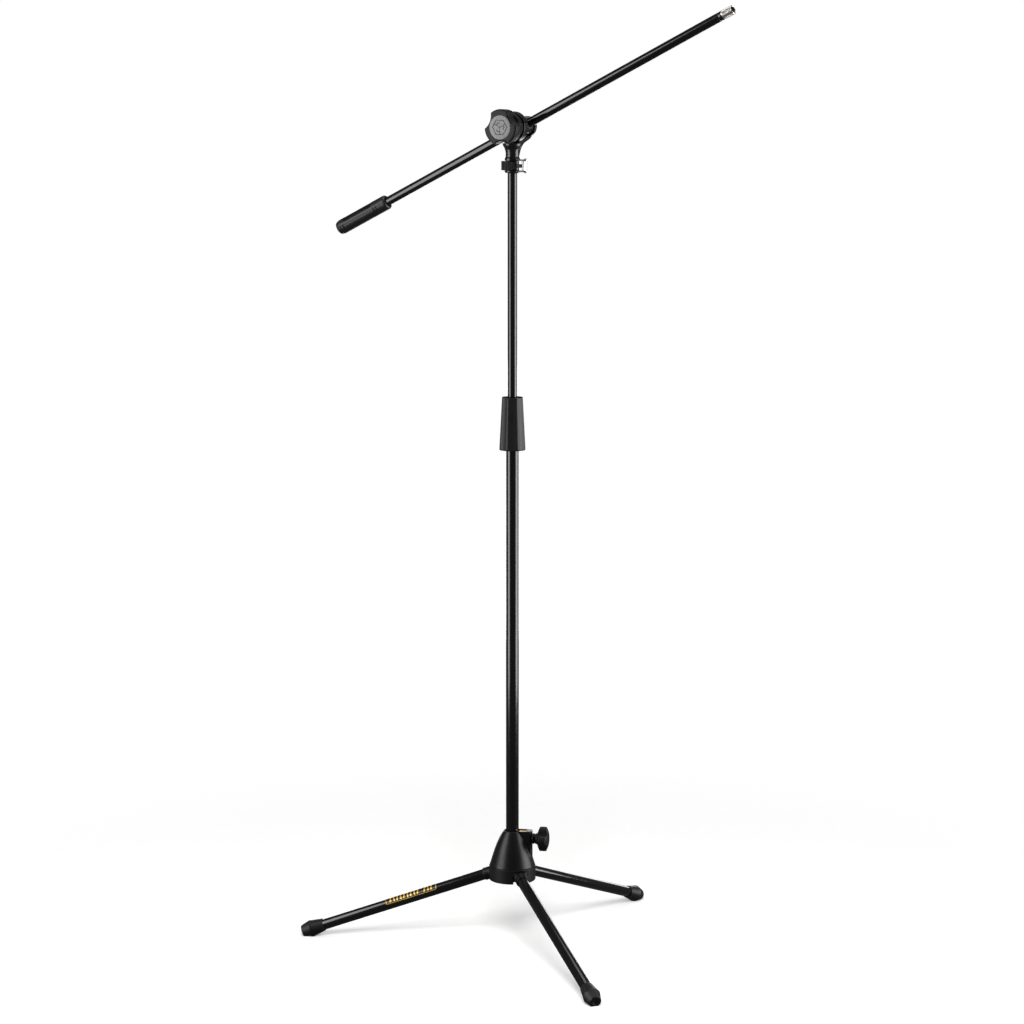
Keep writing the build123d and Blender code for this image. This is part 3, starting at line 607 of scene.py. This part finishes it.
def build_clutch():
    """Rubber sleeve with eight long flutes, a rim at the top and a rolled lower edge."""
    low, high = span("clutch_sleeve", POLE)
    flutes, first = 8, radians(8.8)
    bottom, top = 0.0233, 0.0188
    flute, depth, blend = 0.030, 0.0017, 0.00016

    def fluted(angle, radius, height):
        share = (height - low) / (high - low)
        outer = bottom + share * (top - bottom)
        if radius < outer - 0.0026:
            return radius
        off = (angle - first + pi / flutes) % (tau / flutes) - pi / flutes
        centre = outer + flute - depth
        dip = centre * cos(off) - sqrt(max(0.0, flute ** 2 - (centre * sin(off)) ** 2))
        gap = outer - radius
        return -blend * log(exp(-radius / blend) + exp(-(dip - gap * 0.6) / blend))

    outline = [(top - 0.0034, high - 0.0050), (bottom - 0.0034, low + 0.0005), (bottom - 0.0034, low),
               (bottom - 0.0016, low), (bottom - 0.0005, low + 0.0007), (bottom, low + 0.0022),
               (top, high - 0.0014), (top - 0.0005, high - 0.0003), (top - 0.0012, high),
               (top - 0.0030, high), (top - 0.0034, high - 0.0008)]
    mesh = lathe("clutch_rubber", outline, POLE, 0.0003, shape=fluted, sides=ROUNDER)
    piece("clutch_rubber", mesh, RUBBER, "clutch_grip", ["clutch_sleeve"])


# ---- Feet ----

def build_foot(number):
    """Rubber foot: a flared socket, a ribbed end cone that stands on the floor, and a dimpled end."""
    node = f"leg_{number}_foot"
    place = leg_frame(number)
    low, high = span(node, place)
    widest, end, cone = 0.0150, 0.0102, 0.0168
    ribs, rib_depth = 44, 0.00022

    def ribbed(angle, radius, height):
        share = (height - (high - cone)) / cone
        if not 0.12 < share < 0.9 or radius < 0.006:
            return radius
        fade = min(1.0, (share - 0.12) / 0.08, (0.9 - share) / 0.08)
        return radius - rib_depth * fade * (0.5 + 0.5 * cos(ribs * angle))

    stations = [(widest + (end - widest) * share, high - cone + cone * share)
                for share in (0.12, 0.16, 0.2, 0.82, 0.86, 0.9)]
    outline = [(CENTRE, high - 0.0010), (0.0040, high - 0.0010), (0.0046, high), (end, high)]
    outline += stations[::-1]
    outline += [(widest, high - cone), (widest - 0.0007, high - cone - 0.0016), (0.0114, low + 0.003),
                (0.0112, low + 0.001), (0.0106, low), (0.0096, low),
                (0.0096, high - 0.006), (CENTRE, high - 0.006)]
    name = f"leg_{number}_rubber_foot"
    mesh = lathe(name, outline, place, 0.0006, closed=False, shape=ribbed, sides=ROUNDER)
    for vertex in mesh.vertices:
        vertex.co.z = max(vertex.co.z, 0.0)
    piece(name, mesh, RUBBER, f"leg_{number}", [node])


# ---- Boom ----

def build_grip():
    """Counterweight grip: two half panels with a long seam, short cross grooves and a knurled back."""
    low, high = span("boom_grip", ALONG_BOOM)
    radius = reach("boom_grip", ALONG_BOOM)
    bore = 0.00785
    seam = radians(-83.5)
    length = high - low
    cross = (0.0065, 0.0125, length - 0.0255, length - 0.0200)
    cross_width, cross_depth = 0.0010, 0.00075
    panel = (0.016, length - 0.030)

    def skin(angle, height):
        along = height - low
        left = min(abs((angle - seam + pi) % tau - pi), abs((angle + seam + pi) % tau - pi))
        dip = 0.0005 * bell_curve(left * radius, 0.00055)
        under = smooth_step(cos(angle), -0.12, 0.05) * smooth_step(-cos(angle), -0.95, -0.80)
        for at in cross:
            dip += cross_depth * under * bell_curve(along - at, cross_width)
        over = smooth_step(-cos(angle), 0.30, 0.42)
        inside = smooth_step(along, panel[0], panel[0] + 0.001)
        inside *= smooth_step(-along, -panel[1], 0.001 - panel[1])
        knurl = abs(sin(angle * 18 + along * 520)) * abs(sin(angle * 18 - along * 520))
        return dip + over * inside * (0.00015 + 0.0002 * (1 - knurl))

    rings = []
    steps = 260
    shoulder = 0.0042
    for step in range(steps + 1):
        height = low + length * step / steps
        near = min(height - low, high - height)
        rounding = shoulder - sqrt(max(0.0, shoulder ** 2 - max(0.0, shoulder - near) ** 2))
        rounding = min(rounding, shoulder * 0.8) if height > low + length / 2 else min(rounding, 0.0011)
        rings.append([])
        for side in range(ROUNDER):
            angle = tau * side / ROUNDER
            reach_here = radius - rounding - skin(angle, height)
            rings[-1].append((reach_here * cos(angle), reach_here * sin(angle), height))
    for inner, height in ((0.0104, high - 0.0010), (0.0097, high - 0.0050), (bore, high - 0.0055),
                          (bore, high - 0.006), (0.0102, high - 0.006), (0.0102, low)):
        rings.append(circle(inner, height))
    mesh = smooth(loft("boom_grip_shell", rings, ALONG_BOOM, closed=True), 50)
    piece("boom_grip_shell", mesh, GRIP_PLASTIC, "boom", ["boom_grip"])
    recoat(mesh, ALONG_BOOM, GRIP_KNURL,
           lambda centre: centre.x < -0.33 * radius and panel[0] < centre.z - low < panel[1])
    low, high = span("boom_grip_cap", ALONG_BOOM)
    face = radius - 0.001
    outline = [(CENTRE, low + 0.0006), (0.0050, low + 0.0006), (0.0056, low), (face - 0.0022, low),
               (face - 0.0007, low + 0.0008), (face, low + 0.0022), (face, low + 0.003),
               (0.0102, low + 0.003), (0.0102, low + 0.007), (0.00675, low + 0.007),
               (0.00675, high), (CENTRE, high)]
    mesh = lathe("boom_grip_end", outline, ALONG_BOOM, 0.0006, closed=False)
    piece("boom_grip_end", mesh, GRIP_PLASTIC, "boom", ["boom_grip_cap"])


def build_stud():
    """Hollow nickel stud with a fine thread and a short slot in its side."""
    low, high = span("boom_thread_stud", ALONG_BOOM)
    start = high - STUD_LENGTH
    pitch, depth = 0.0009407, 0.00024
    slot_at, slot_angle = start + 0.0118, radians(-105)

    def threaded(angle, height):
        phase = (height / pitch - angle / tau) % 1
        fade_in = max(0.0, (height - start - 0.0012) / 0.001)
        fade_out = max(0.0, (high - 0.0003 - height) / 0.0009)
        fade = min(1.0, fade_in, fade_out)
        groove = depth * (1 - abs(2 * phase - 1)) * fade
        slot_along = abs(height - slot_at) / 0.0008
        slot_round = abs((angle - slot_angle + pi) % tau - pi) * STUD_R / 0.0026
        slot = 0.0012 if slot_along < 1 and slot_round < 1 else 0
        return max(groove, slot)

    rings = []
    for inner, height in ((0.0050, start), (0.0050, low), (0.0034, low), (0.0034, start + 0.002),
                          (0.0060, start + 0.002), (0.0060, high - 0.0012), (0.0068, high)):
        rings.append(circle(inner, height))
    steps = 150
    for step in range(steps + 1):
        height = high - STUD_LENGTH * step / steps
        chamfer = max(0.0, 0.0006 - (high - height))
        rings.append([])
        for side in range(ROUNDER):
            angle = tau * side / ROUNDER
            outer = STUD_R - chamfer - threaded(angle, height)
            rings[-1].append((outer * cos(angle), outer * sin(angle), height))
    mesh = smooth(loft("thread_stud", rings, ALONG_BOOM, closed=True), 34)
    piece("thread_stud", mesh, NICKEL, "boom", ["boom_thread_stud"])
    # The stud's bore and inner faces get the gloss black paint: painted shade inside the open hollow end.
    recoat(mesh, ALONG_BOOM, PAINT, lambda centre: hypot(centre.x, centre.y) < 0.0061)
    low, high = span("boom_tip_fitting", ALONG_BOOM)
    outline = [(0.0050, low), (0.00675, low), (0.00675, high - 0.0064), (0.0071, high - 0.0064),
               (0.0071, high - 0.0039), (0.00775, high - 0.0039), (0.00775, high), (0.0050, high)]
    mesh = lathe("boom_end_ring", outline, ALONG_BOOM, 0.0004)
    piece("boom_end_ring", mesh, PAINT, "boom", ["boom_tip_fitting"])


# ---- Label ----

def wrapped(name, shapes, place, radius, thickness):
    """Thin plates wrapped on a tube. Each shape is a strip: a list of pairs of (height, angle) points."""
    points, faces = [], []
    for strip in shapes:
        start = len(points)
        for pair in strip:
            for height, angle in pair:
                for layer in (radius, radius - thickness):
                    points.append(place @ Vector((layer * cos(angle), layer * sin(angle), height)))
        for row in range(len(strip) - 1):
            here, after = start + 4 * row, start + 4 * row + 4
            faces.append((here, here + 2, after + 2, after))
            faces.append((here + 1, after + 1, after + 3, here + 3))
            faces.append((here, after, after + 1, here + 1))
            faces.append((here + 2, here + 3, after + 3, after + 2))
        if strip[0] != strip[-1]:
            end = start + 4 * (len(strip) - 1)
            faces += [(start, start + 1, start + 3, start + 2), (end, end + 2, end + 3, end + 1)]
    mesh = bpy.data.meshes.new(name)
    mesh.from_pydata(points, [], faces)
    return smooth(mesh, 40)


def build_label():
    """Black foil on the first leg with a gold frame and a row of plain gold shapes, no lettering."""
    place = leg_frame(1)
    low, high = span("leg_label", place)
    radius = reach("leg_label", place)
    back = place.inverted()
    angles = [atan2(*(back @ vertex.co).yx) for vertex in frame["nodes"]["leg_label"].data.vertices]
    first, last = min(angles), max(angles)
    rows = 40
    arc = [first + (last - first) * row / rows for row in range(rows + 1)]
    sheet = [[(low, angle), (high, angle)] for angle in arc]
    mesh = wrapped("label_foil_sheet", [sheet], place, radius - 0.00004, 0.0001)
    piece("label_foil_sheet", mesh, FOIL, "leg_1", ["leg_label"])

    line, corner = 0.0011, 0.0035
    bottom, top = radians(-80), radians(22)
    middle_angle, middle = (bottom + top) / 2, (low + high) / 2
    half_arc = (top - bottom) / 2 * radius
    half_length = (high - low) / 2 - 0.0006

    def rounded_box(inset):
        points = []
        for quarter, (sx, sy) in enumerate(((1, 1), (-1, 1), (-1, -1), (1, -1))):
            centre_x, centre_y = sx * (half_length - corner), sy * (half_arc - corner)
            for step in range(9):
                turn = radians(90 * quarter + 90 * step / 8)
                size = corner - inset
                points.append((centre_x + size * cos(turn), centre_y + size * sin(turn)))
        return points

    outer_corners, inner_corners = rounded_box(0), rounded_box(line)
    frame_strip = []
    count = len(outer_corners)
    for index in range(count):
        after = (index + 1) % count
        for step in range(12):
            share = step / 12
            pair = []
            for ring in (outer_corners, inner_corners):
                x = ring[index][0] + (ring[after][0] - ring[index][0]) * share
                y = ring[index][1] + (ring[after][1] - ring[index][1]) * share
                pair.append((middle + x, middle_angle + y / radius))
            frame_strip.append(pair)
    frame_strip.append(frame_strip[0])
    shapes = [frame_strip]
    bars, foot_angle, head_angle = 13, radians(-66), radians(4)
    pitch = (2 * half_length - 0.012) / bars
    for number in range(bars):
        at = middle - half_length + 0.006 + pitch * (number + 0.5)
        if number == 3:
            continue
        wide = 0.0024 if number % 3 else 0.0036
        lean = 0.0012 if number % 2 else -0.0012
        bar = []
        for step in range(9):
            share = step / 8
            angle = foot_angle + (head_angle - foot_angle) * share
            centre = at + lean * (share - 0.5)
            pinch = wide / 2 * (1 if number % 3 else 0.55 + 0.45 * abs(2 * share - 1))
            bar.append([(centre - pinch, angle), (centre + pinch, angle)])
        shapes.append(bar)
    mesh = wrapped("label_gold_print", shapes, place, radius, 0.00008)
    piece("label_gold_print", mesh, GOLD, "leg_1", [])


# ---- Main ----

build_tubes()
build_base()
build_head()
build_emblem()
build_tilt_knob()
build_clutch()
for number in LEG_NUMBERS:
    build_foot(number)
build_grip()
build_stud()
build_label()
dress(NYLON, "base_bush", "clutch_collet", "upper_tube_guide", "swivel_bush", "boom_liner", "friction_disc",
      "lower_tube_plug", "upper_tube_cap")
dress(STEEL, "base_screws", "leg_pins", "clamp_screw", "boom_counterweight")
dress(BRASS, "clamp_shoe")
dress(CASTING, "clutch_body")


# ---- Floor, light and camera ----

def backdrop_floor():
    """A pale floor under the stand that fades out into the white of the room."""
    size, sides = 1.6, 128
    mesh = bpy.data.meshes.new("floor")
    mesh.from_pydata(circle(size, -0.0002, sides), [], [tuple(range(sides))])
    floor = bpy.data.objects.new("floor", mesh)
    bpy.context.scene.collection.objects.link(floor)
    made, add, shader = material("pale_floor")
    soft = grain(made, add, 60.0, 4.0)
    pale = ramp(made, add, soft, (0.50, 0.498, 0.496), (0.52, 0.519, 0.518))
    link(made, pale, shader.inputs["Base Color"])
    shader.inputs["Roughness"].default_value = 0.9
    place = add("ShaderNodeTexCoord")
    distance = add("ShaderNodeVectorMath", operation="LENGTH")
    link(made, place.outputs["Object"], distance.inputs[0])
    fade = add("ShaderNodeMapRange", interpolation_type="SMOOTHERSTEP")
    fade.inputs["From Min"].default_value = 0.35
    fade.inputs["From Max"].default_value = size - 0.1
    link(made, distance.outputs["Value"], fade.inputs["Value"])
    clear = add("ShaderNodeBsdfTransparent")
    blend = add("ShaderNodeMixShader")
    link(made, fade.outputs["Result"], blend.inputs["Fac"])
    link(made, shader.outputs["BSDF"], blend.inputs[1])
    link(made, clear.outputs["BSDF"], blend.inputs[2])
    link(made, blend.outputs["Shader"], made.node_tree.nodes["Material Output"].inputs["Surface"])
    mesh.materials.append(made)
    floor.visible_glossy = False
    floor.visible_diffuse = False


def area_light(name, place, target, width, height, radiance):
    """A rectangular softbox of a given radiance that faces target."""
    data = bpy.data.lights.new(name, "AREA")
    data.shape = "RECTANGLE"
    data.size = width
    data.size_y = height
    data.energy = radiance * pi * width * height
    light = bpy.data.objects.new(name, data)
    bpy.context.scene.collection.objects.link(light)
    light.location = place
    light.rotation_euler = (Vector(target) - Vector(place)).to_track_quat("-Z", "Y").to_euler()
    return light


CAMERA_PLACE = Vector((0.7609, -4.9417, 1.5084))
CAMERA_ROTATION = (radians(81.492), 0, radians(8.761))
CAMERA_LENS = 104.49


def add_camera():
    """Camera at the height and distance of a product photograph."""
    data = bpy.data.cameras.new("camera")
    data.lens = CAMERA_LENS
    data.sensor_width = 36
    data.clip_end = 60
    camera = bpy.data.objects.new("camera", data)
    camera.location = CAMERA_PLACE
    camera.rotation_euler = CAMERA_ROTATION
    bpy.context.scene.collection.objects.link(camera)
    bpy.context.scene.camera = camera


def beside(azimuth, distance, height):
    """A place round the pole; azimuth is counted from the camera's side, positive to its right."""
    front = atan2(CAMERA_PLACE.y, CAMERA_PLACE.x)
    return (distance * cos(front + radians(azimuth)), distance * sin(front + radians(azimuth)), height)


def add_lights():
    """Softboxes on both sides and above, a low card behind, and the floor's own two lights."""
    on_stand = [area_light("softbox_left", beside(-66, 2.4, 1.25), (0, 0, 1.05), 1.5, 2.9, 5.6),
                area_light("softbox_right", beside(84, 2.4, 0.92), (0, 0, 0.75), 1.9, 2.2, 7.0),
                area_light("softbox_top", (0.2, 0.3, 3.4), (0, 0, 0.6), 2.2, 2.2, 2.4),
                area_light("card_behind", beside(180, 2.2, 0.45), (0, 0, 0.35), 2.4, 0.7, 4.0)]
    floor_key = area_light("floor_key", beside(-1.3, 3.2, 2.83), (0, 0, 0), 1.4, 1.4, 46.0)
    floor_fill = area_light("floor_fill", (0, 0, 5.0), (0, 0, 0), 8.0, 8.0, 2.65)
    floor_fill.data.use_shadow = False
    floor = bpy.context.scene.collection.objects["floor"]
    only_floor = bpy.data.collections.new("only_floor")
    only_floor.objects.link(floor)
    all_but_floor = bpy.data.collections.new("all_but_floor")
    all_but_floor.objects.link(floor)
    all_but_floor.collection_objects[0].light_linking.link_state = "EXCLUDE"
    for light in on_stand:
        light.light_linking.receiver_collection = all_but_floor
    for light in (floor_key, floor_fill):
        light.light_linking.receiver_collection = only_floor


def white_room():
    """White background; the room itself stays dim, so that gloss black shows only the softboxes."""
    world = bpy.data.worlds.new("room")
    bpy.context.scene.world = world
    world.use_nodes = True
    nodes, links = world.node_tree.nodes, world.node_tree.links
    ray = nodes.new("ShaderNodeLightPath")
    strength = nodes.new("ShaderNodeMapRange")
    strength.inputs["To Min"].default_value = 0.10
    strength.inputs["To Max"].default_value = 1.0
    background = nodes["Background"]
    background.inputs["Color"].default_value = (1, 1, 1, 1)
    links.new(ray.outputs["Is Camera Ray"], strength.inputs["Value"])
    links.new(strength.outputs["Result"], background.inputs["Strength"])


backdrop_floor()
add_lights()
add_camera()
white_room()
bpy.context.scene.view_settings.view_transform = "Standard"
